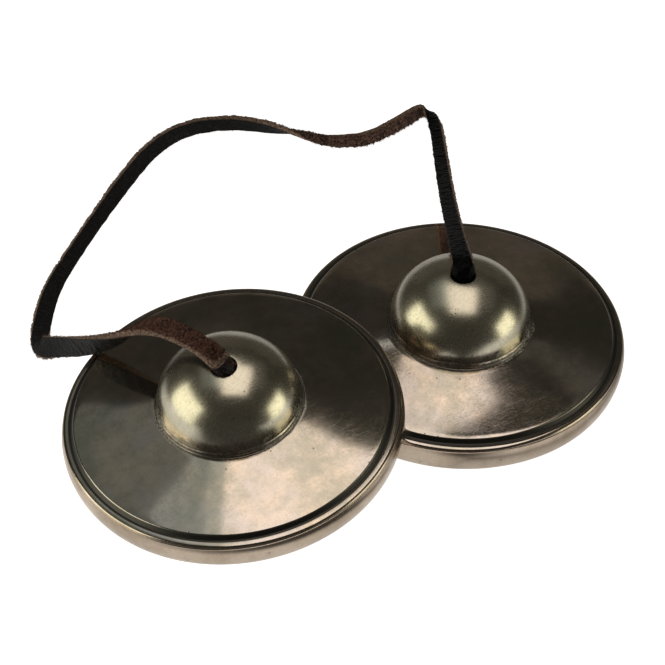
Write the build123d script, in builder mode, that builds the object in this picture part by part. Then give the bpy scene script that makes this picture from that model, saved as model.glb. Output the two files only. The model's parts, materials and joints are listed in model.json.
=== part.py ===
from build123d import *
import os
from math import asin, cos, degrees, radians, sin, sqrt, tan

# A pair of tingsha cymbals on a leather thong, in millimetres, +Z up.
# The rear cymbal lies flat, and the front one leans on its plate.
# The origin is under the middle of the two cymbals, and +X runs from the front one to the rear one.

# Cymbal casting, measured from its foot and its axis
cymbal_radius = 32.5        # widest point of the bulged side wall
wall_bulge = 0.7            # swell of the wall beyond the foot
bulge_height = 3.0          # height of the widest point
rim_height = 5.6            # top of the side wall
rim_inset = 0.35            # wall's lean inwards at the top, from the widest point
rim_round = 0.85            # rounding of the wall's top edge
ledge_width = 0.75          # flat ledge inside the rounded edge
ledge_drop = 0.02           # fall of the ledge towards the step
step_run = 0.7              # sloped step from the ledge up to the plate
step_height = 0.88
plate_slope = 9.1           # cone of the plate, degrees
plate_thickness = 2.6
foot_width = 3.2            # ring that the cymbal stands on
boss_radius = 13.35
boss_height = 12.2          # boss above the plate at its own foot
boss_wall = 2.5
oval_pull = 0.5523          # pull of a curve's middle points that makes it a quarter ellipse
groove_width = 0.45         # groove round the foot of the boss
groove_depth = 0.25
hole_diameter = 4.6
hole_rounding = 0.35        # softened edge of the hole's mouth
front_hole_at = (-0.7, -1.45)   # the front cymbal's hole is drilled off its centre
rear_hole_at = (0.0, 0.0)

# Rest pose: plan distance between the two cymbals' feet, and the gap where they touch
centre_distance = 51.0
lean_gap = 0.3

# Thong and knots
thong_width = 3.8           # the flat thong's width, used as the diameter of its plain tube
knot_diameter = 9.4
knot_height = 7.0
knot_shoulder = 0.4         # flat top of the knot beyond the thong
seat_gap = 0.3              # knot to the inside of the boss
joint_gap = 0.3             # gap at each place where the thong bends
mouth_rise = 0.9            # rear bending point above the top of the boss
front_rise = 1.9            # first corner of the front end above the mouth of its hole

# Heights and radii of the casting that follow from these sizes
foot_radius = cymbal_radius - wall_bulge
foot_inner = foot_radius - foot_width
wall_top = (cymbal_radius - rim_inset, rim_height - rim_round)
ledge_outer = (wall_top[0] - rim_round, rim_height)
ledge_inner = (ledge_outer[0] - ledge_width, rim_height - ledge_drop)
plate_edge = (ledge_inner[0] - step_run, ledge_inner[1] + step_height)
plate_fall = tan(radians(plate_slope))


def plate_top(radius):
    """Height of the plate's upper face at a radius."""
    return plate_edge[1] + plate_fall * (plate_edge[0] - radius)


boss_foot = plate_top(boss_radius)
boss_top = boss_foot + boss_height
groove_outer = boss_radius + groove_width
inner_radius = boss_radius - boss_wall
inner_height = boss_height - boss_wall


def boss_surface(radius, rim, height):
    """Height of a half ellipse that stands on the foot of the boss."""
    return boss_foot + height * sqrt(1 - (radius / rim) ** 2)


def quarter_oval(rim, height):
    """Control points of a quarter ellipse from the foot of the boss to its axis."""
    top = boss_foot + height
    return [(rim, boss_foot), (rim, boss_foot + oval_pull * height), (oval_pull * rim, top), (0, top)]


# Lean of the front cymbal: its far foot is on the table and its near foot on the rear plate
lean = 0.1
for step in range(30):
    touch_radius = centre_distance - foot_radius * cos(lean)
    lean = asin((plate_top(touch_radius) + lean_gap) / (2 * foot_radius))

front_reach = cymbal_radius * cos(lean) + bulge_height * sin(lean)
rear_x = (centre_distance + front_reach - cymbal_radius) / 2
front_x = rear_x - centre_distance
front_height = foot_radius * sin(lean)
rear_base = Plane((rear_x, 0, 0))
front_base = Plane(
    (front_x, 0, front_height), x_dir=(cos(lean), 0, sin(lean)), z_dir=(-sin(lean), 0, cos(lean))
)


def hole_mouth(hole_at):
    """Height of the boss's outer face at a hole."""
    return boss_surface(sqrt(hole_at[0] ** 2 + hole_at[1] ** 2), boss_radius, boss_height)


def knot_top(hole_at):
    """Height of a knot's flat top, which clears the inside of the boss."""
    reach = sqrt(hole_at[0] ** 2 + hole_at[1] ** 2) + thong_width / 2 + knot_shoulder
    return boss_surface(reach, inner_radius, inner_height) - seat_gap


# Route of the thong from the fold beside the front cymbal round to the rear hole, on the table
# except for its last stretch, and of its front end, from the hole down to that fold
table_height = thong_width / 2 + 0.1
rear_joint = (rear_x, 0, boss_top + mouth_rise)
fold_joint = (-42.8, 35.8, 5.7)
loop_points = [
    (-46.2, 42.8, table_height),
    (-41.8, 48.2, table_height),
    (-36.4, 52.8, table_height),
    (-30.0, 58.4, table_height),
    (-20.8, 65.6, table_height),
    (-11.0, 72.3, table_height),
    (-3.2, 77.9, table_height),
    (5.4, 82.4, table_height),
    (15.0, 83.6, table_height),
    (22.4, 80.6, table_height),
    (28.6, 74.3, table_height),
    (34.2, 66.9, table_height),
    (40.0, 61.9, table_height),
    (48.4, 61.2, table_height),
    (56.2, 65.0, table_height),
    (62.0, 60.5, table_height),
    (58.0, 53.6, 3.6),
    (51.0, 44.4, 6.6),
    (44.2, 33.4, 11.6),
    (37.0, 21.0, 17.4),
    (31.0, 10.4, 22.0),
    (28.0, 4.6, boss_top + 3.0),
]
front_points = [
    (-31.2, 3.1, 28.2),
    (-32.9, 8.6, 27.4),
    (-34.4, 14.1, 24.7),
    (-35.9, 19.0, 20.4),
    (-38.0, 24.0, 15.4),
    (-40.3, 28.5, 11.3),
    (-41.9, 32.4, 8.2),
]


def corner_radii(points):
    """Largest radius that the two runs at each corner of a route leave room for."""
    radii = []
    for before, corner, after in zip(points, points[1:], points[2:]):
        run_in = Vector(*corner) - Vector(*before)
        run_out = Vector(*after) - Vector(*corner)
        half_turn = radians(run_in.get_angle(run_out)) / 2
        radii.append(0.45 * min(run_in.length, run_out.length) / tan(half_turn))
    return radii


def shifted(start, towards, distance):
    """The point that lies a distance from start on the way to another point."""
    way = Vector(*towards) - Vector(*start)
    return tuple(Vector(*start) + way.normalized() * distance)


def cast_cymbal(base, hole_at):
    """One cymbal that stands on a base plane, hollow below, with its hole at hole_at."""
    section = Plane(base.origin, x_dir=base.x_dir, z_dir=-base.y_dir)
    with BuildPart() as casting:
        with BuildSketch(section):
            with BuildLine():
                Line((foot_inner, 0), (foot_radius, 0))
                ThreePointArc((foot_radius, 0), (cymbal_radius, bulge_height), wall_top)
                RadiusArc(wall_top, ledge_outer, -rim_round)
                Polyline(ledge_outer, ledge_inner, plate_edge, (groove_outer, plate_top(groove_outer)))
                ThreePointArc(
                    (groove_outer, plate_top(groove_outer)),
                    (boss_radius + groove_width / 3, boss_foot - groove_depth),
                    (boss_radius, boss_foot),
                )
                Bezier(*quarter_oval(boss_radius, boss_height))
                Line((0, boss_top), (0, boss_top - boss_wall))
                Bezier(*quarter_oval(inner_radius, inner_height))
                Polyline(
                    (inner_radius, boss_foot),
                    (inner_radius, plate_top(inner_radius) - plate_thickness),
                    (foot_inner, plate_top(foot_inner) - plate_thickness),
                    (foot_inner, 0),
                )
            make_face()
        revolve(axis=Axis(base.origin, base.z_dir))
        with BuildSketch(base.offset(boss_foot)):
            with Locations(hole_at):
                Circle(hole_diameter / 2)
        extrude(amount=boss_height * 2, mode=Mode.SUBTRACT)
        mouth = casting.edges(Select.LAST).sort_by(Axis(base.origin, base.z_dir))[-1]
        fillet(mouth, hole_rounding)
    return casting.part


def tie_knot(base, hole_at):
    """The knot inside a boss, as a round body under the hole."""
    top = knot_top(hole_at)
    flat = thong_width / 2 + knot_shoulder
    axis_point = base.from_local_coords((hole_at[0], hole_at[1], 0))
    section = Plane(axis_point, x_dir=base.x_dir, z_dir=-base.y_dir)
    with BuildPart() as knot:
        with BuildSketch(section):
            with BuildLine():
                Line((0, top - knot_height), (0, top))
                Line((0, top), (flat, top))
                ThreePointArc(
                    (flat, top), (knot_diameter / 2, top - knot_height / 2), (flat, top - knot_height)
                )
                Line((flat, top - knot_height), (0, top - knot_height))
            make_face()
        revolve(axis=Axis(axis_point, base.z_dir))
    return knot.part


def lay_tube(name, points, ball_at):
    """A stretch of the thong along a route, with a round end at each point of ball_at."""
    radii = corner_radii(points)
    with BuildPart() as stretch:
        with BuildLine() as route:
            FilletPolyline(*points, radius=radii)
        path = route.wires()[0]
        with BuildSketch(Plane(path @ 0, z_dir=path % 0)):
            Circle(thong_width / 2)
        sweep(path=path)
        with Locations(*ball_at):
            Sphere(thong_width / 2)
    print(name, "length", round(path.length, 1), "radii", [round(radius, 1) for radius in radii])
    return stretch.part


os.makedirs("parts", exist_ok=True)

# The two cymbals
front_cymbal = cast_cymbal(front_base, front_hole_at)
front_cymbal.label = "front_cymbal"
export_step(front_cymbal, "parts/front_cymbal.step")
rear_cymbal = cast_cymbal(rear_base, rear_hole_at)
rear_cymbal.label = "rear_cymbal"
export_step(rear_cymbal, "parts/rear_cymbal.step")

# The knots that hold the thong under the bosses
front_knot = tie_knot(front_base, front_hole_at)
front_knot.label = "front_knot"
export_step(front_knot, "parts/front_knot.step")
rear_knot = tie_knot(rear_base, rear_hole_at)
rear_knot.label = "rear_knot"
export_step(rear_knot, "parts/rear_knot.step")

# The thong's front end, from its knot through the hole and down to the fold
front_start = tuple(front_base.from_local_coords((*front_hole_at, knot_top(front_hole_at))))
front_mouth = tuple(front_base.from_local_coords((*front_hole_at, hole_mouth(front_hole_at) + front_rise)))
thong_front = lay_tube(
    "thong_front", [front_start, front_mouth, *front_points, fold_joint], [fold_joint]
)
thong_front.label = "thong_front"
export_step(thong_front, "parts/thong_front.step")

# The thong's loop, from the fold round behind both cymbals to the rear hole
loop_start = shifted(fold_joint, loop_points[0], thong_width / 2 + joint_gap)
thong_loop = lay_tube("thong_loop", [loop_start, *loop_points, rear_joint], [rear_joint])
thong_loop.label = "thong_loop"
export_step(thong_loop, "parts/thong_loop.step")

# The thong's rear end, which stands on its knot in the rear hole
rear_end_top = boss_top + mouth_rise - thong_width / 2 - joint_gap
with BuildPart() as rear_end:
    with BuildSketch(rear_base.offset(knot_top(rear_hole_at))):
        with Locations(rear_hole_at):
            Circle(thong_width / 2)
    extrude(amount=rear_end_top - knot_top(rear_hole_at))
rear_end.part.label = "thong_rear_end"
export_step(rear_end.part, "parts/thong_rear_end.step")

print("lean", round(degrees(lean), 3), "front base", [round(value, 3) for value in front_base.origin])
print("rear x", round(rear_x, 3), "boss top", round(boss_top, 3), "rear joint", rear_joint)
front_axis = front_base.from_local_coords((*front_hole_at, 0))
print("front hole axis at", [round(value, 3) for value in front_axis])
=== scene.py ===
import bmesh
import bpy
import json
import random
from math import ceil, cos, exp, hypot, pi, radians, sin, tan
from mathutils import Matrix, Vector, noise


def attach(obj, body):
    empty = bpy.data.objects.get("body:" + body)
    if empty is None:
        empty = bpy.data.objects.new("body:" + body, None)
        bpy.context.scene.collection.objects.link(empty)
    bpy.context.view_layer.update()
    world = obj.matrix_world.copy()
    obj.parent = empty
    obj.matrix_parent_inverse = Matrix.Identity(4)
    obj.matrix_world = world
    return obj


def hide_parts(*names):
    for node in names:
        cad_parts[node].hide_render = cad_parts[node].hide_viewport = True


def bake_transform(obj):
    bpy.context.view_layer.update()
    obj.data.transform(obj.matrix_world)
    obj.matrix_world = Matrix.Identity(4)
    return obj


# Dresses the tingsha cymbals. Sizes and places are in millimetres and become metres in each mesh.
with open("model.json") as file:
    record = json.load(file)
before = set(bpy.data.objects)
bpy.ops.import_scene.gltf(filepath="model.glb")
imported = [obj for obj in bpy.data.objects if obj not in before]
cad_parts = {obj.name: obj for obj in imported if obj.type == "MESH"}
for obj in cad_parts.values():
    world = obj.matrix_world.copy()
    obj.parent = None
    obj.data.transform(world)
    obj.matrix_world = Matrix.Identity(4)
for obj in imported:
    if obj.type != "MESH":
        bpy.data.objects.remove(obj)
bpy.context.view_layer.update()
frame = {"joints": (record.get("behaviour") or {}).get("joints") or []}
scene = bpy.context.scene
MM = 0.001

# Camera, as the photograph was taken: angles in degrees, place in metres
camera_azimuth = 33.765
camera_pitch = 43.925
camera_roll = 2.245
camera_place = (-0.25523, -0.37566, 0.45518)
camera_lens = 180.19
camera_sensor = 36.0

# Cymbal casting, with the sizes of its solid except for the boss, which is polished to a rounder shape
cymbal_radius = 32.5
wall_bulge = 0.7
bulge_height = 3.0
rim_height = 5.6
rim_inset = 0.35
rim_round = 0.85
ledge_width = 0.75
ledge_drop = 0.02
step_run = 0.7
step_height = 0.88
plate_slope = 9.1
plate_dish = 0.07           # sag of the plate below a straight cone
plate_thickness = 2.6
foot_width = 3.2
boss_radius = 13.7
boss_height = 11.9
boss_fullness = 2.12        # power of the boss's curve: 2 is an ellipse, and more is fuller
bead_height = 0.95          # fine line turned round the boss above its foot
bead_width = 0.22
bead_depth = 0.14
boss_wall = 2.5
groove_width = 0.45
groove_depth = 0.25
hole_radius = 2.3
hole_rounding = 0.35
front_hole_at = (-0.7, -1.45)
rear_hole_at = (0.0, 0.0)

# Mesh of a cymbal: points round each ring, and the unevenness of hand polishing
ring_points = 288
run_step = 0.8
plate_waves = 0.08          # depth of the slow waves in the plate
plate_wave_length = 12.0
plate_calm = (29, 30)       # radii between which the waves die out
boss_waves = 0.03
boss_wave_length = 6.0
front_crust = [(-1.0, 0.03, 0.0), (0.42, -0.91, 0.0)]   # where pale crust has caked round each boss
rear_crust = [(0.42, -0.91, 0.0)]

# Thong: a flat strap, black grain on one face and brown suede on the other
strap_thickness = 1.5
strap_corner = 0.3
strap_slant = 0.5           # the cut edges slant, so the suede shows past the grain along one side
route_steps = 40            # points that the spline gives for each control point
split_point = 22            # control point at the half twist, where the strap's two pieces meet
face_points = 12            # points across each face
rib_depth = 0.12            # creases across the grain
rib_length = 0.8
pebble_depth = 0.1          # pebbles of the grain
pebble_length = 0.9
suede_depth = 0.22
suede_length = 0.6
edge_wander = 0.1           # unevenness of the cut edges
edge_wander_length = 2.2
tuft_depth = 0.22           # ragged tufts along the cut edges
tuft_length = 0.5
fuzz_per_ring = 24
fuzz_length = (0.25, 0.85)
fuzz_radius = 0.05
fuzz_sink = 0.05            # root of each strand below the surface
fuzz_lean = 0.9             # most that a strand leans along the strap
fuzz_stray = 0.4
fuzz_row = 0.3              # distance between rows of fuzz in the leather's pattern
fuzz_side = -1.5            # a strand's place through the strap: beyond the suede
hole_shade_side = 1.2             # the same inside the holes: beyond the grain, so the strap there is painted black as shade
floor_gap = 0.03            # lowest point of the strap and its fuzz
suede_roughness = 0.95

# Overhand knot under each hole: control points from the knot's middle, with the tail hanging down
knot_section = (2.8, 1.4)
knot_roll = 90
knot_drop = 3.6             # middle of the knot below its top
knot_route = [
    (0.0, 0.0, 3.8),
    (0.3, -0.4, 2.2),
    (2.8, -0.2, -1.3),
    (3.3, 1.9, 0.0),
    (1.2, 2.6, 1.4),
    (-1.1, 0.6, 0.0),
    (-1.6, -2.4, -1.4),
    (0.0, -3.7, 0.0),
    (1.6, -2.4, 1.4),
    (1.1, 0.6, 0.0),
    (-1.2, 2.6, -1.4),
    (-3.3, 1.9, 0.0),
    (-2.8, -0.2, 1.2),
    (-0.6, -1.4, -1.2),
    (0.4, -1.8, -4.2),
    (1.2, -2.6, -7.2),
]

# Route of the strap from the front knot to the rear knot. Each row has a control point, then the
# strap's roll in degrees (0 lies flat with its grain up), its width and its thickness.
strap_route = [
    (-28.4, -1.45, 19.2, 180, 4.6, 4.6),
    (-28.6, -1.45, 22.2, 180, 4.6, 4.6),
    (-28.9, -1.5, 24.6, 182, 4.6, 4.4),
    (-29.4, -1.1, 26.0, 188, 4.1, 2.6),
    (-30.8, 2.4, 27.3, 198, 3.3, 1.6),
    (-32.8, 9.2, 26.6, 204, 3.4, 1.3),
    (-34.4, 14.8, 24.4, 196, 3.6, 1.3),
    (-36.0, 20.0, 19.8, 168, 3.8, 1.4),
    (-38.3, 24.2, 14.4, 120, 4.0, 1.5),
    (-41.2, 30.0, 9.4, 94, 4.3, 1.5),
    (-43.4, 36.8, 4.8, 84, 4.4, 1.5),
    (-45.2, 40.2, 2.5, 60, 4.2, 1.5),
    (-43.9, 43.0, 2.0, 16, 3.8, 1.5),
    (-41.2, 47.2, 1.8, -6, 3.5, 1.5),
    (-35.1, 54.7, 1.6, -16, 3.3, 1.5),
    (-26.6, 61.3, 1.6, -24, 2.9, 1.5),
    (-17.1, 68.2, 1.6, -28, 2.9, 1.5),
    (-7.4, 74.9, 1.7, -34, 3.1, 1.5),
    (3.2, 81.5, 1.8, -46, 3.0, 1.4),
    (12.8, 83.7, 1.8, -60, 2.8, 1.3),
    (22.3, 80.2, 1.8, -72, 2.5, 1.2),
    (28.4, 74.6, 1.8, -100, 2.5, 1.1),
    (32.6, 70.1, 1.6, -160, 2.4, 1.1),
    (36.2, 65.0, 1.6, -224, 2.2, 1.1),
    (43.4, 61.4, 1.6, -250, 2.3, 1.1),
    (51.0, 62.1, 1.7, -254, 2.6, 1.1),
    (57.1, 63.3, 1.8, -262, 2.7, 1.2),
    (58.9, 63.1, 1.9, -286, 2.7, 1.2),
    (59.4, 61.4, 2.1, -330, 2.6, 1.2),
    (58.6, 58.4, 2.6, -368, 2.4, 1.2),
    (55.2, 52.0, 4.1, -372, 2.4, 1.2),
    (46.9, 37.9, 8.4, -372, 2.7, 1.2),
    (38.4, 23.4, 13.9, -370, 2.9, 1.3),
    (30.2, 8.6, 19.9, -368, 3.3, 1.5),
    (26.8, 2.2, 22.1, -366, 4.0, 2.0),
    (25.7, 0.2, 20.8, -366, 4.6, 3.8),
    (25.6, 0.0, 16.6, -366, 4.4, 4.4),
]

# Boxes round the subject: degrees right of straight behind it, degrees above the floor, distance and
# size in metres, radiance and colour
side_boxes = [
    ("left_box", -103, 14, 1.0, (0.9, 0.85), 2.1, (1.0, 0.98, 0.8)),
    ("right_box", 98, 8, 1.0, (0.58, 0.6), 2.2, (1.0, 0.98, 0.78)),
    ("back_panel", 0, 14, 1.4, (2.4, 0.9), 0.058, (1.0, 0.83, 0.67)),
]

# Level panels above the subject: left, right, near and far sides as shares of their height, radiance
# and colour
overhead_height = 1.0
overhead_panels = [
    ("top_box", -0.25, 0.36, -0.33, 0.505, 1.55, (1.0, 0.92, 0.85)),
    ("top_box_end", -0.25, 0.045, 0.505, 0.62, 1.15, (1.0, 0.92, 0.85)),
    ("near_fill", -0.32, -0.25, -0.1, 0.8, 0.7, (0.95, 1.0, 0.95)),
    ("mid_fill", -0.42, -0.32, -0.1, 0.8, 0.42, (0.9, 1.0, 0.96)),
    ("far_fill", -0.8, -0.42, -0.1, 0.9, 0.16, (0.9, 1.0, 0.96)),
    ("right_fill", 0.36, 0.9, -0.1, 0.9, 0.06, (1.0, 0.98, 0.9)),
]
room_glow = (0.032, 0.031, 0.027, 1)

# Paper as the metal mirrors it: dark, with painted light in brighter patches beside, behind and close to
# the cymbals, which only reflections see; other rays see it glow evenly
paper_size = 4000
paper_dark = 0.02
paper_beside = 0.8
paper_behind = 0.38
paper_close = 0.7
close_reach = (20, 6)       # beyond the front rim, where the close patch ends and where it is full
rear_close_cut = 9          # the close patch is this much narrower round the rear cymbal
beside_nearer = 30          # the patches beside fan out from this much nearer the camera than the middle
beside_spread = 0.9         # slope of their borders
beside_border = (10, 50)    # where they start and where they are full
beside_depth = (60, -20)    # the same along the view
behind_depth = (15, 40)
behind_middle = 20          # the patch behind lies this much to the right
behind_border = (110, 50)
paper_colour = 0.8
paper_roughness = 0.9
paper_glow = 0.98


def smooth_share(value, low, high):
    """0 below low, 1 above high, and an even rise between them."""
    share = min(max((value - low) / (high - low), 0.0), 1.0)
    return share * share * (3 - 2 * share)


def new_object(name, points, faces):
    """A mesh object from points in millimetres and faces."""
    mesh = bpy.data.meshes.new(name)
    mesh.from_pydata([Vector(point) * MM for point in points], [], faces)
    turned = bmesh.new()
    turned.from_mesh(mesh)
    bmesh.ops.recalc_face_normals(turned, faces=turned.faces)
    turned.to_mesh(mesh)
    turned.free()
    mesh.polygons.foreach_set("use_smooth", [True] * len(mesh.polygons))
    piece = bpy.data.objects.new(name, mesh)
    scene.collection.objects.link(piece)
    return piece


def bridge_rings(rings, closed):
    """Faces between neighbouring rings of equal length, numbered in order."""
    count = len(rings[0])
    faces = []
    last = len(rings) if closed else len(rings) - 1
    for row in range(last):
        here = row * count
        above = (row + 1) % len(rings) * count
        for index in range(count):
            after = (index + 1) % count
            faces.append((here + index, here + after, above + after, above + index))
    return faces


# Cymbals

foot_radius = cymbal_radius - wall_bulge
foot_inner = foot_radius - foot_width
wall_top = (cymbal_radius - rim_inset, rim_height - rim_round)
ledge_outer = (wall_top[0] - rim_round, rim_height)
ledge_inner = (ledge_outer[0] - ledge_width, rim_height - ledge_drop)
plate_edge = (ledge_inner[0] - step_run, ledge_inner[1] + step_height)
plate_fall = tan(radians(plate_slope))


def plate_top(radius):
    """Height of the plate's upper face at a radius."""
    return plate_edge[1] + plate_fall * (plate_edge[0] - radius)


def plate_sag(radius):
    """Depth of the plate's dish below its cone at a radius."""
    share = (radius - groove_outer) / (plate_edge[0] - groove_outer)
    return plate_dish * 4 * share * (1 - share) if 0 < share < 1 else 0.0


boss_foot = plate_top(boss_radius)
groove_outer = boss_radius + groove_width
inner_radius = boss_radius - boss_wall


def boss_surface(radius, rim, height):
    """Height of a rounded boss that stands on the plate."""
    return boss_foot + height * max(0.0, 1 - (radius / rim) ** boss_fullness) ** (1 / boss_fullness)


def wall_radius(height):
    """Radius of the bulged side wall at a height."""
    above = height > bulge_height
    reach = wall_top[1] - bulge_height if above else bulge_height
    drop = rim_inset if above else wall_bulge
    return cymbal_radius - drop * ((height - bulge_height) / reach) ** 2


def softened(corners):
    """Profile through corners (radius, height, rounding), with each one rounded and long runs divided."""
    points = []
    for before, corner, after in zip(corners, corners[1:], corners[2:]):
        middle = Vector(corner[:2])
        arrive = middle + (Vector(before[:2]) - middle).normalized() * corner[2]
        leave = middle + (Vector(after[:2]) - middle).normalized() * corner[2]
        if points:
            run = arrive - points[-1]
            parts = ceil(run.length / run_step)
            points += [points[-1] + run * (part / parts) for part in range(1, parts)]
        for share in (0.0, 0.25, 0.5, 0.75, 1.0):
            ahead = arrive.lerp(middle, share)
            points.append(ahead.lerp(middle.lerp(leave, share), share))
    return points


def outer_profile():
    """Radius and height from the foot up the wall and over the plate to the groove round the boss."""
    foot = [
        (foot_inner - 1, 0, 0),
        (foot_inner, 0, 0.4),
        (foot_radius, 0, 0.45),
        (wall_radius(0.9), 0.9, 0.05),
        (wall_radius(1.2), 1.2, 0),
    ]
    wall = [Vector((wall_radius(height / 10), height / 10)) for height in range(12, 45, 3)]
    rim = [
        (wall_radius(4.4), 4.4, 0),
        (*wall_top, 0.1),
        (wall_top[0], rim_height, rim_round),
        (ledge_inner[0], ledge_inner[1], 0.2),
        (*plate_edge, 0.14),
        (groove_outer, plate_top(groove_outer), 0.15),
        (boss_radius + groove_width / 2, boss_foot - groove_depth, 0.2),
        (boss_radius, boss_foot, 0),
    ]
    return softened(foot) + wall + softened(rim)


def ring_of(radius, height, centre=(0.0, 0.0)):
    """One level ring of points."""
    turns = [2 * pi * index / ring_points for index in range(ring_points)]
    return [(centre[0] + radius * cos(turn), centre[1] + radius * sin(turn), height) for turn in turns]


def boss_ring(radius, hole_at, rim, height, drop=0.0):
    """A ring on a boss surface whose centre moves from the axis to the hole as it gets smaller."""
    shift = (rim - radius) / (rim - hole_radius)
    ring = ring_of(radius, 0, (hole_at[0] * shift, hole_at[1] * shift))
    return [(x, y, boss_surface(hypot(x, y), rim, height) - drop) for x, y, _ in ring]


def uneven(point, seed):
    """A point of the outer face, moved by the slow waves that hand polishing leaves."""
    x, y, z = point
    if z < bulge_height:
        return point
    radius = hypot(x, y)
    settled = 1 - smooth_share(radius, *plate_calm)
    on_plate = smooth_share(radius, groove_outer, groove_outer + 2) * settled
    on_boss = 1 - smooth_share(radius, boss_radius - 2.5, boss_radius - 0.5)
    on_boss *= smooth_share(radius, hole_radius, hole_radius + 2)
    at = Vector((x, y, z + seed * 40))
    slow = plate_waves * on_plate * noise.noise(at / plate_wave_length) - plate_sag(radius)
    quick = boss_waves * on_boss * noise.noise(at / boss_wave_length)
    return (x, y, z + slow + quick)


def cymbal_mesh(name, hole_at, seed):
    """One cymbal about its own axis: foot, wall, plate, boss, hole, and back underneath."""
    rings = [ring_of(radius, height) for radius, height in outer_profile()]
    mouth = hole_radius + hole_rounding
    for step in range(1, 17):
        height = step * bead_width / 2
        dent = bead_depth * exp(-((height - bead_height) / bead_width) ** 2)
        radius = boss_radius * (1 - (height / boss_height) ** boss_fullness) ** (1 / boss_fullness)
        rings.append(ring_of(radius - dent, boss_foot + height))
    for share in range(5, 45):
        polar = pi / 2 * (1 - share / 45)
        radius = boss_radius * sin(polar)
        if radius > mouth + 0.25:
            rings.append(boss_ring(radius, hole_at, boss_radius, boss_height))
    for turn in range(0, 91, 15):
        radius = mouth - hole_rounding * sin(radians(turn))
        drop = hole_rounding * (1 - cos(radians(turn)))
        rings.append(boss_ring(radius, hole_at, boss_radius, boss_height, drop))
    rings = [[uneven(point, seed) for point in ring] for ring in rings]
    for share in (0.3, 0.6):
        rings.append(boss_ring(hole_radius, hole_at, boss_radius, boss_height, boss_wall * share))
    for share in range(31):
        polar = pi / 2 * share / 30
        radius = inner_radius * sin(polar)
        if radius > hole_radius:
            rings.append(boss_ring(radius, hole_at, inner_radius, boss_height - boss_wall))
    under = plate_top(inner_radius) - plate_thickness
    hollow = [
        (inner_radius, boss_foot, 0),
        (inner_radius, under, 0.35),
        (foot_inner, plate_top(foot_inner) - plate_thickness, 1.2),
        (foot_inner, 0.4, 0.05),
        (foot_inner, 0, 0),
    ]
    rings += [ring_of(radius, height) for radius, height in softened(hollow)]
    points = [point for ring in rings for point in ring]
    faces = bridge_rings(rings, closed=True)
    return new_object(name, points, faces)


def joint_named(name):
    """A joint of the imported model."""
    return next(joint for joint in frame["joints"] if joint["name"] == name)


# The front cymbal leans: its spin joint gives its axis and where its hole is
front_axis = Vector(joint_named("front_spin")["axis"])
side = Vector((0, 1, 0))
along = side.cross(front_axis)
front_hole = Vector(joint_named("front_spin")["pos_m"])
front_origin = front_hole - (along * front_hole_at[0] + side * front_hole_at[1]) * MM
front_place = Matrix.Translation(front_origin) @ Matrix((along, side, front_axis)).transposed().to_4x4()
rear_place = Matrix.Translation(Vector(joint_named("rear_spin")["pos_m"]))

front_cymbal = cymbal_mesh("front_bronze", front_hole_at, 1)
front_cymbal.matrix_world = front_place
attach(front_cymbal, "front_cymbal")
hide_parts("front_cymbal")
rear_cymbal = cymbal_mesh("rear_bronze", rear_hole_at, 2)
rear_cymbal.matrix_world = rear_place
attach(rear_cymbal, "rear_cymbal")
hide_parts("rear_cymbal")


# Strap

def read_spline(rows):
    """Points along the smooth spline whose control points are these rows of three numbers."""
    curve = bpy.data.curves.new("route", "CURVE")
    curve.dimensions = "3D"
    spline = curve.splines.new("NURBS")
    spline.points.add(len(rows) - 1)
    for control, row in zip(spline.points, rows):
        control.co = (*row, 1)
    spline.order_u = 3
    spline.use_endpoint_u = True
    spline.resolution_u = route_steps
    route = bpy.data.objects.new("route", curve)
    line = bpy.data.meshes.new_from_object(route)
    places = [vertex.co.copy() for vertex in line.vertices]
    bpy.data.meshes.remove(line)
    bpy.data.objects.remove(route)
    bpy.data.curves.remove(curve)
    return places


def strap_section(width, thickness):
    """Outline of the strap: (across, through), with the grain on the positive side of through."""
    corner = min(strap_corner * (thickness / strap_thickness) ** 2, thickness * 0.48)
    half_width = width / 2 - corner
    half_thick = thickness / 2 - corner
    slant = strap_slant / thickness * smooth_share(thickness, 3.0, 1.6)
    outline = []
    for side_across, side_through, start in ((1, 1, 0), (-1, 1, 90), (-1, -1, 180), (1, -1, 270)):
        for turn in (0, 30, 60, 90):
            angle = radians(start + turn)
            outline.append((
                side_across * half_width + corner * cos(angle),
                side_through * half_thick + corner * sin(angle),
            ))
        if side_across == side_through:
            end, face = outline[-1]
            for step in range(1, face_points + 1):
                outline.append((end * (1 - 2 * step / (face_points + 1)), face))
    return [(across + slant * through, through) for across, through in outline]


def roughened(across, through, width, thickness, distance, seed):
    """A point of the strap's outline, moved by creases on the grain, nap on the suede and a ragged cut."""
    cut_side = seed + (50 if across > 0 else 0)
    wander = noise.noise(Vector((distance / edge_wander_length, cut_side, 0)))
    at_edge = smooth_share(abs(across), width / 2 - 2 * strap_corner, width / 2)
    across *= 1 + 2 * edge_wander * wander / width
    at = Vector((across, distance, seed))
    if through > 0:
        crease = noise.noise(Vector((across / 2.5, distance / rib_length, seed)))
        pebble = noise.voronoi(at / pebble_length)[0][0]
        through += (rib_depth * crease - pebble_depth * pebble) * (1 - at_edge)
    else:
        through += suede_depth * noise.turbulence(at / suede_length, 2, False, amplitude_scale=0.7)
    ragged = smooth_share(through, thickness / 2, -thickness / 2)
    tuft = noise.noise(Vector((through * 2, distance / tuft_length, cut_side))) + 0.3
    return across + tuft_depth * tuft * at_edge * ragged * (1 if across > 0 else -1), through


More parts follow.
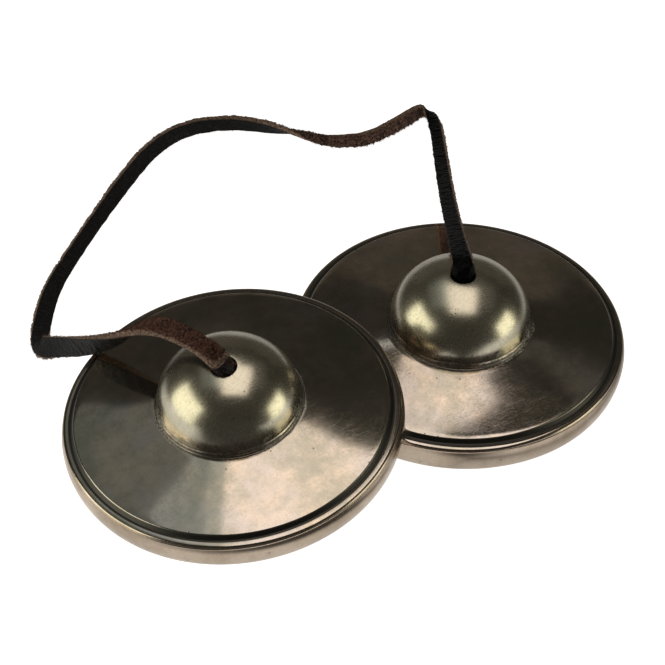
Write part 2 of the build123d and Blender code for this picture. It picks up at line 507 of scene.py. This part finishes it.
def strap_piece(name, places, shapes, seed):
    """A stretch of the strap as one mesh with fuzz along its cut edges and suede.

    places are points along its middle. shapes are the roll in hundreds of degrees, width and thickness.
    """
    points, sides, alongs, acrosses = [], [], [], []
    distance = 0.0
    rings = []
    for index, (place, shape) in enumerate(zip(places, shapes)):
        ahead = places[min(index + 1, len(places) - 1)]
        behind = places[max(index - 1, 0)]
        distance += (place - behind).length
        tangent = (ahead - behind).normalized()
        level = tangent.cross(Vector((0, 0, 1))).normalized()
        upward = level.cross(tangent)
        roll = radians(shape[0] * 100)
        wide = level * cos(roll) + upward * sin(roll)
        grain = upward * cos(roll) - level * sin(roll)
        ring = []
        for across, through in strap_section(shape[1], shape[2]):
            u, v = roughened(across, through, shape[1], shape[2], distance, seed)
            outward = (wide * across / shape[1] + grain * through / shape[2]).normalized()
            ring.append((place + wide * u + grain * v, outward, tangent, through))
            # Painted shade: inside the holes the strap takes the black grain colour all round.
            plugged = smooth_share(shape[2], 2.4, 3.4)
            sides.append(2 * through / shape[2] * (1 - plugged) + hole_shade_side * plugged)
            acrosses.append(across)
            alongs.append(distance)
        rings.append(ring)
        points += [entry[0] for entry in ring]
    count = len(rings[0])
    faces = bridge_rings(rings, closed=False)
    faces.append(tuple(range(count))[::-1])
    faces.append(tuple(range(len(points) - count, len(points))))
    chance = random.Random(seed)
    for row, ring in enumerate(rings):
        for strand in range(fuzz_per_ring):
            foot, outward, tangent, through = ring[chance.randrange(count)]
            if through > strap_thickness * 0.3:
                continue
            reach = chance.uniform(*fuzz_length) * chance.random()
            lean = tangent * chance.uniform(-fuzz_lean, fuzz_lean)
            stray = Vector([chance.uniform(-1, 1) for axis in range(3)]) * fuzz_stray
            tip = foot + (outward + lean + stray).normalized() * reach
            beside = tangent.cross(outward).normalized()
            first = len(points)
            root = foot - outward * fuzz_sink
            points += [
                root + tangent * fuzz_radius,
                root - tangent * fuzz_radius * 0.5 + beside * fuzz_radius,
                root - tangent * fuzz_radius * 0.5 - beside * fuzz_radius,
                tip,
            ]
            for corners in ((0, 1, 3), (1, 2, 3), (2, 0, 3), (2, 1, 0)):
                faces.append(tuple(first + corner for corner in corners))
            sides += [fuzz_side] * 4
            acrosses += [0.0] * 4
            alongs += [row * fuzz_row] * 4
    points = [(x, y, max(z, floor_gap)) for x, y, z in points]
    piece = new_object(name, points, faces)
    for label, values in (("side", sides), ("across", acrosses), ("along", alongs)):
        layer = piece.data.attributes.new(label, "FLOAT", "POINT")
        layer.data.foreach_set("value", values)
    return piece


route_places = read_spline([row[:3] for row in strap_route])
route_shapes = read_spline([(row[3] / 100, row[4], row[5]) for row in strap_route])
split_index = int((split_point - 0.5) * route_steps)

front_strap = strap_piece("front_strap", route_places[:split_index + 1], route_shapes[:split_index + 1], 3)
rear_strap = strap_piece("rear_strap", route_places[split_index:], route_shapes[split_index:], 4)


def tied_knot(name, top, upright, seed):
    """An overhand knot of the strap whose top is at a place, with its tail hanging from it."""
    turn = upright.to_track_quat("Z", "Y").to_matrix()
    middle = top - upright * knot_drop
    places = [middle + turn @ place for place in read_spline(knot_route)]
    shape = Vector((knot_roll / 100, *knot_section))
    return strap_piece(name, places, [shape] * len(places), seed)


front_knot = tied_knot("front_knot_tie", Vector(strap_route[0][:3]), front_axis, 5)
rear_knot = tied_knot("rear_knot_tie", Vector(strap_route[-1][:3]), Vector((0, 0, 1)), 6)


# Materials

class Shader:
    """Builds one procedural material, a node a call. A socket or a plain value feeds each input."""

    def __init__(self, name):
        self.material = bpy.data.materials.new(name)
        self.material.use_nodes = True
        self.tree = self.material.node_tree
        self.surface = self.tree.nodes["Principled BSDF"]

    def feed(self, node, inputs):
        for socket, value in inputs.items():
            if isinstance(value, bpy.types.NodeSocket):
                self.tree.links.new(value, node.inputs[socket])
            else:
                node.inputs[socket].default_value = value

    def node(self, kind, inputs, **settings):
        made = self.tree.nodes.new("ShaderNode" + kind)
        for setting, value in settings.items():
            setattr(made, setting, value)
        self.feed(made, inputs)
        return made

    def noise(self, place, scale, detail=3.0, roughness=0.5):
        inputs = {"Vector": place, "Scale": scale, "Detail": detail, "Roughness": roughness}
        return self.node("TexNoise", inputs).outputs["Fac"]

    def math(self, operation, first, second=0.0):
        return self.node("Math", {0: first, 1: second}, operation=operation).outputs[0]

    def rise(self, value, low, high):
        """0 where value is at low, 1 at high, smooth between."""
        inputs = {"Value": value, "From Min": low, "From Max": high}
        return self.node("MapRange", inputs, interpolation_type="SMOOTHSTEP").outputs[0]

    def mix(self, share, first, second):
        """first where share is 0 and second where it is 1, for colours and grey values alike."""
        inputs = {0: share, 6: first, 7: second}
        return self.node("Mix", inputs, data_type="RGBA").outputs[2]

    def bump(self, height, distance, strength=1.0):
        inputs = {"Height": height, "Distance": distance, "Strength": strength}
        return self.node("Bump", inputs).outputs["Normal"]


def scratches(shader, place, turn, length, width):
    """Fine straight strokes in one direction, as 0 to 1."""
    scale = (1 / length, 1 / width, 1 / length)
    inputs = {"Vector": place, "Rotation": (0.0, 0.0, radians(turn)), "Scale": scale}
    lined = shader.node("Mapping", inputs).outputs[0]
    return shader.rise(shader.noise(lined, 1.0, 2.0), 0.62, 0.72)


def band(shader, radius, inner, outer, soft):
    """1 between two radii in millimetres, fading over soft at each."""
    above = shader.rise(radius, (inner - soft) * MM, (inner + soft) * MM)
    return shader.math("MULTIPLY", above, shader.rise(radius, (outer + soft) * MM, (outer - soft) * MM))


def bronze_material(name, boss_roughness, crust_sides):
    """Old bell bronze: polished by hand, smudged, pitted and scratched, with grime and crust in grooves."""
    shader = Shader(name)
    place = shader.node("TexCoord", {}).outputs["Object"]
    parts = shader.node("SeparateXYZ", {0: place}).outputs
    level = shader.node("CombineXYZ", {"X": parts["X"], "Y": parts["Y"]}).outputs[0]
    radius = shader.node("VectorMath", {0: level}, operation="LENGTH").outputs["Value"]
    clouds = shader.noise(place, 65.0, 5.0, 0.6)
    tints = shader.noise(place, 110.0, 3.0, 0.5)
    mottle = shader.noise(place, 420.0, 5.0, 0.65)
    speckle = shader.noise(place, 2100.0, 2.0, 0.6)
    on_boss = shader.rise(radius, (boss_radius + 0.2) * MM, (boss_radius - 0.6) * MM)
    on_wall = shader.rise(radius, (wall_top[0] - 0.5) * MM, (wall_top[0] - 0.1) * MM)

    stain = shader.rise(shader.math("ADD", clouds, shader.math("MULTIPLY", mottle, 0.4)), 0.55, 0.9)
    warm = shader.rise(tints, 0.35, 0.65)
    plate_colour = shader.mix(warm, (0.55, 0.485, 0.44, 1), (0.65, 0.535, 0.42, 1))
    plate_colour = shader.mix(stain, plate_colour, (0.38, 0.35, 0.28, 1))
    smudge = shader.math("MULTIPLY", shader.rise(shader.noise(place, 170.0, 5.0, 0.65), 0.48, 0.66), 0.5)
    plate_colour = shader.mix(smudge, plate_colour, (0.36, 0.35, 0.295, 1))
    boss_colour = shader.mix(stain, (0.55, 0.505, 0.395, 1), (0.4, 0.375, 0.28, 1))
    wall_colour = shader.mix(stain, (0.5, 0.41, 0.325, 1), (0.36, 0.285, 0.21, 1))
    colour = shader.mix(on_boss, plate_colour, boss_colour)
    colour = shader.mix(on_wall, colour, wall_colour)
    grainy = shader.math("MULTIPLY", shader.rise(speckle, 0.4, 0.8), 0.18)
    colour = shader.mix(grainy, colour, (0.24, 0.205, 0.165, 1))

    pits = shader.node("TexVoronoi", {"Vector": place, "Scale": 560.0}, feature="F1")
    picked = shader.node("SeparateColor", {0: pits.outputs["Color"]}).outputs[0]
    hollow = shader.rise(pits.outputs["Distance"], 0.11, 0.05)
    pit = shader.math("MULTIPLY", hollow, shader.rise(picked, 0.87, 0.89))
    specks = shader.node("TexVoronoi", {"Vector": place, "Scale": 1700.0}, feature="F1")
    chosen = shader.node("SeparateColor", {0: specks.outputs["Color"]}).outputs[0]
    clustered = shader.math("MULTIPLY", shader.rise(chosen, 0.55, 0.6), shader.rise(tints, 0.56, 0.66))
    speck = shader.math("MULTIPLY", shader.rise(specks.outputs["Distance"], 0.28, 0.15), clustered)
    pit = shader.math("MAXIMUM", pit, shader.math("MULTIPLY", speck, on_boss))
    colour = shader.mix(pit, colour, (0.06, 0.05, 0.04, 1))

    strokes = shader.math("MAXIMUM", scratches(shader, place, 24, 5 * MM, 0.13 * MM),
                          scratches(shader, place, -47, 4 * MM, 0.11 * MM))
    strokes = shader.math("MAXIMUM", strokes, scratches(shader, place, 82, 6 * MM, 0.15 * MM))

    wander = shader.math("MULTIPLY", shader.math("SUBTRACT", mottle, 0.5), 1.6 * MM)
    strayed = shader.math("ADD", radius, wander)
    boss_grime = band(shader, strayed, boss_radius - 0.15, groove_outer + 0.1, 0.2)
    rim_grime = band(shader, radius, plate_edge[0] + 0.08, ledge_outer[0] - 0.3, 0.1)
    on_top = shader.rise(parts["Z"], (rim_height - 1.1) * MM, (rim_height - 0.4) * MM)
    above_plate = shader.rise(parts["Z"], (boss_foot - 1.6) * MM, (boss_foot - 0.8) * MM)
    boss_grime = shader.math("MULTIPLY", boss_grime, shader.math("MULTIPLY", above_plate, 0.6))
    grime = shader.math("MAXIMUM", boss_grime, shader.math("MULTIPLY", rim_grime, on_top))
    colour = shader.mix(grime, colour, (0.055, 0.052, 0.046, 1))
    outward = shader.node("VectorMath", {0: level}, operation="NORMALIZE").outputs[0]
    caked = 0.0
    for side_way in crust_sides:
        facing = shader.node("VectorMath", {0: outward, 1: side_way}, operation="DOT_PRODUCT")
        caked = shader.math("MAXIMUM", caked, shader.rise(facing.outputs["Value"], 0.8, 0.97))
    grains = shader.rise(shader.noise(place, 2600.0, 3.0, 0.7), 0.46, 0.62)
    caked = shader.math("MULTIPLY", caked, grains)
    by_groove = band(shader, strayed, boss_radius - 0.1, groove_outer + 0.2, 0.25)
    crust = shader.math("MULTIPLY", caked, by_groove)
    colour = shader.mix(crust, colour, (0.5, 0.5, 0.44, 1))

    roughness = 0.04
    rough_parts = [
        (clouds, 0.1),
        (strokes, 0.05),
        (shader.rise(speckle, 0.4, 0.8), 0.05),
        (on_boss, boss_roughness),
        (on_wall, 0.1),
        (grime, 0.3),
        (crust, 0.4),
    ]
    for part, weight in rough_parts:
        roughness = shader.math("ADD", roughness, shader.math("MULTIPLY", part, weight))
    height = shader.math("SUBTRACT", shader.math("MULTIPLY", speckle, 0.12), pit)
    height = shader.math("SUBTRACT", height, shader.math("MULTIPLY", strokes, 0.03))
    height = shader.math("ADD", height, shader.math("MULTIPLY", crust, 2.0))
    shader.feed(shader.surface, {
        "Base Color": colour,
        "Metallic": shader.math("SUBTRACT", 0.975, shader.math("MULTIPLY", crust, 0.9)),
        "Roughness": roughness,
        "Normal": shader.bump(height, 0.01 * MM),
    })
    return shader.material


def leather_material(name, gloss, grain_roughness, rib_sheen_colour, pale_suede):
    """Strap leather: black creased grain whose crease ridges carry a painted sheen, dark brown suede and
    paler fuzzy cut edges.
    """
    shader = Shader(name)
    side = shader.node("Attribute", {}, attribute_name="side").outputs["Fac"]
    across = shader.node("Attribute", {}, attribute_name="across").outputs["Fac"]
    along = shader.node("Attribute", {}, attribute_name="along").outputs["Fac"]
    place = shader.node("CombineXYZ", {"X": across, "Y": along, "Z": side}).outputs[0]
    ribbed = shader.node("VectorMath", {0: place, 1: (0.5, 1.0, 0.2)}, operation="MULTIPLY").outputs[0]
    creases = shader.noise(ribbed, 1.4, 3.0, 0.6)
    pebbles = shader.node("TexVoronoi", {"Vector": place, "Scale": 2.0}, feature="F1").outputs["Distance"]
    creases = shader.math("SUBTRACT", creases, shader.math("MULTIPLY", pebbles, 0.5))
    nap = shader.noise(place, 2.4, 4.0, 0.7)
    on_grain = shader.rise(shader.math("ADD", side, shader.math("MULTIPLY", nap, 0.3)), 0.75, 1.05)
    at_suede = shader.rise(side, -0.55, -0.95)
    # Painted sheen: the ridges of the creases are mixed towards a lighter grain colour.
    sheen_on_ribs = shader.rise(creases, 0.25, 0.5)
    grain = shader.mix(sheen_on_ribs, (0.0015, 0.0015, 0.002, 1), rib_sheen_colour)
    fibres = shader.rise(nap, 0.36, 0.66)
    suede = shader.mix(fibres, (0.014, 0.006, 0.005, 1), pale_suede)
    edge = shader.mix(fibres, (0.05, 0.03, 0.022, 1), (0.32, 0.22, 0.16, 1))
    colour = shader.mix(at_suede, edge, suede)
    colour = shader.mix(on_grain, colour, grain)
    height = shader.mix(on_grain, nap, creases)
    smoother = shader.math("MULTIPLY", on_grain, suede_roughness - grain_roughness)
    shader.feed(shader.surface, {
        "Base Color": colour,
        "Roughness": shader.math("SUBTRACT", suede_roughness, smoother),
        "Normal": shader.bump(height, 0.35 * MM),
        "Specular IOR Level": gloss,
    })
    return shader.material


front_leather_painted_sheen = leather_material(
    "front_leather_painted_sheen", 0.25, 0.6, rib_sheen_colour=(0.009, 0.009, 0.0105, 1), pale_suede=(0.165, 0.08, 0.055, 1)
)
# Rear copy of the same leather, shaded: its grain and crease sheen are painted darker as shade, and its
# suede is paler.
rear_leather_painted_shade = leather_material(
    "rear_leather_painted_shade", 0.05, 0.38, rib_sheen_colour=(0.005, 0.005, 0.005, 1), pale_suede=(0.215, 0.135, 0.105, 1)
)
front_cymbal.data.materials.append(bronze_material("front_aged_bronze", 0.145, front_crust))
rear_cymbal.data.materials.append(bronze_material("rear_aged_bronze", 0.155, rear_crust))
for piece in (front_strap, front_knot):
    piece.data.materials.append(front_leather_painted_sheen)
for piece in (rear_strap, rear_knot):
    piece.data.materials.append(rear_leather_painted_shade)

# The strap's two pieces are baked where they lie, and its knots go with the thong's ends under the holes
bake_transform(front_strap)
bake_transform(rear_strap)
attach(front_knot, "front_end")
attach(rear_knot, "rear_end")
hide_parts("thong_front", "thong_loop")
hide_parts("thong_rear_end")
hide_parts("front_knot")
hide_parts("rear_knot")


# Stage, lights and camera

def area_light(name, size, radiance, colour, place):
    """A rectangular light that isn't seen itself and is as bright as its radiance whatever its size."""
    light = bpy.data.lights.new(name, "AREA")
    light.shape = "RECTANGLE"
    light.size, light.size_y = size
    light.energy = radiance * pi * size[0] * size[1]
    light.color = colour
    lamp = bpy.data.objects.new(name, light)
    lamp.matrix_world = place
    lamp.visible_camera = False
    scene.collection.objects.link(lamp)


for name, azimuth, elevation, distance, size, radiance, colour in side_boxes:
    turn = radians(camera_azimuth + azimuth)
    rise = radians(elevation)
    toward = Vector((sin(turn) * cos(rise), cos(turn) * cos(rise), sin(rise)))
    facing = toward.to_track_quat("Z", "Y").to_matrix().to_4x4()
    area_light(name, size, radiance, colour, Matrix.Translation(toward * distance) @ facing)

camera_turn = Matrix.Rotation(radians(-camera_azimuth), 4, "Z")
for name, left, right, near, far, radiance, colour in overhead_panels:
    size = ((right - left) * overhead_height, (far - near) * overhead_height)
    middle = Vector(((left + right) / 2, (near + far) / 2, 1)) * overhead_height
    area_light(name, size, radiance, colour, camera_turn @ Matrix.Translation(middle))

world = bpy.data.worlds.new("studio")
world.use_nodes = True
world.node_tree.nodes["Background"].inputs["Color"].default_value = room_glow
scene.world = world

corners = [(-1, -1), (1, -1), (1, 1), (-1, 1)]
floor = new_object("floor", [(x * paper_size, y * paper_size, 0) for x, y in corners], [(0, 1, 2, 3)])
paper = Shader("paper")
spot = paper.node("NewGeometry", {}).outputs["Position"]
from_front = paper.node("VectorMath", {0: spot, 1: front_origin}, operation="DISTANCE").outputs["Value"]
rear_origin = rear_place.translation
from_rear = paper.node("VectorMath", {0: spot, 1: rear_origin}, operation="DISTANCE").outputs["Value"]
nearest = paper.math("MINIMUM", from_front, paper.math("ADD", from_rear, rear_close_cut * MM))
view_turn = radians(camera_azimuth)
backward = (sin(view_turn), cos(view_turn), 0)
rightward = (cos(view_turn), -sin(view_turn), 0)
depth = paper.node("VectorMath", {0: spot, 1: backward}, operation="DOT_PRODUCT").outputs["Value"]
lateral = paper.node("VectorMath", {0: spot, 1: rightward}, operation="DOT_PRODUCT").outputs["Value"]


def paper_rise(distance, limits):
    """0 at the first of two limits in millimetres, 1 at the second, smooth between."""
    return paper.rise(distance, limits[0] * MM, limits[1] * MM)


off_middle = paper.math("ABSOLUTE", paper.math("ADD", depth, beside_nearer * MM))
spread = paper.math("MULTIPLY", off_middle, beside_spread)
fan = paper.math("SUBTRACT", paper.math("ABSOLUTE", lateral), spread)
at_sides = paper.math("MULTIPLY", paper_rise(fan, beside_border), paper_rise(depth, beside_depth))
aside = paper.math("ABSOLUTE", paper.math("SUBTRACT", lateral, behind_middle * MM))
behind = paper.math("MULTIPLY", paper_rise(depth, behind_depth), paper_rise(aside, behind_border))
close = paper_rise(nearest, [cymbal_radius + reach for reach in close_reach])
lit = paper.math("MULTIPLY", at_sides, paper_beside)
lit = paper.math("MAXIMUM", lit, paper.math("MULTIPLY", behind, paper_behind))
lit = paper.math("MAXIMUM", paper.math("MULTIPLY", close, paper_close), lit)
# Painted light: glossy rays see the paper dark outside the patches, and other rays see it evenly bright.
mirrored = paper.node("LightPath", {}).outputs["Is Glossy Ray"]
unlit = paper.math("MULTIPLY", mirrored, paper.math("SUBTRACT", 1 - paper_dark, lit))
brightness = paper.math("SUBTRACT", 1.0, unlit)
paper.feed(paper.surface, {
    "Base Color": paper.math("MULTIPLY", brightness, paper_colour),
    "Roughness": paper_roughness,
    "Emission Color": (1, 1, 1, 1),
    "Emission Strength": paper.math("MULTIPLY", brightness, paper_glow),
})
floor.data.materials.append(paper.material)

camera_data = bpy.data.cameras.new("camera")
camera_data.lens = camera_lens
camera_data.sensor_width = camera_sensor
camera = bpy.data.objects.new("camera", camera_data)
aim = camera_turn @ Matrix.Rotation(radians(90 - camera_pitch), 4, "X")
camera.matrix_world = Matrix.Translation(camera_place) @ aim @ Matrix.Rotation(radians(camera_roll), 4, "Z")
scene.collection.objects.link(camera)
scene.camera = camera
scene.view_settings.view_transform = "Standard"
